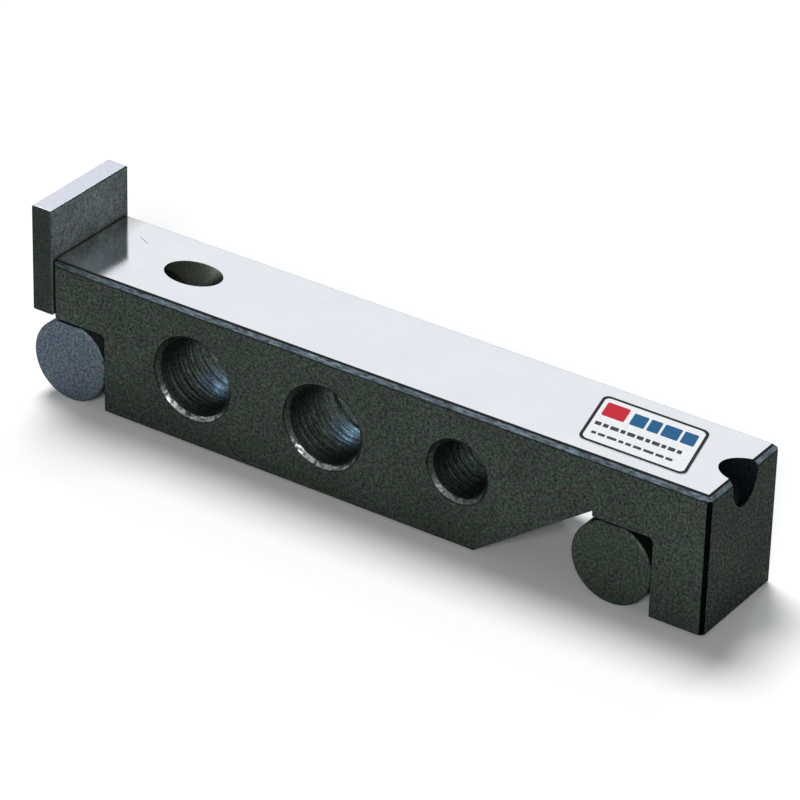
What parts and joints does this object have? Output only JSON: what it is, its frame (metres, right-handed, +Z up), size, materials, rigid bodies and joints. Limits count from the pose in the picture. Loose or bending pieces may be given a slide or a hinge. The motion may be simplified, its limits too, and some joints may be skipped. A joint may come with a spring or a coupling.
{
  "type": "sine bar",
  "caption": "Ground steel sine bar: a chamfered beam with cross bores on two seated rollers, with a stop plate screwed to one end.",
  "frame": {"origin": "middle of the bar's outline seen from above, on the plane that the two rollers stand on", "axes": "+X along the bar from the stop plate to the far foot, +Y across the bar, +Z up, square to the datum face"},
  "size_m": [0.1564, 0.025, 0.0411],
  "materials": {
    "ground_steel": "hardened and ground, dark sides and a bright datum face",
    "roller_steel": "hardened and ground",
    "plate_steel": "hardened and ground",
    "black_screw": "black oxide",
    "label": "satin film"
  },
  "bodies": {
    "root": {"body": "ground_steel", "left_roller": "roller_steel", "right_roller": "roller_steel", "roller_screws": "black_screw", "stop_plate": "plate_steel", "stop_plate_screws": "black_screw"}
  },
  "joints": []
}
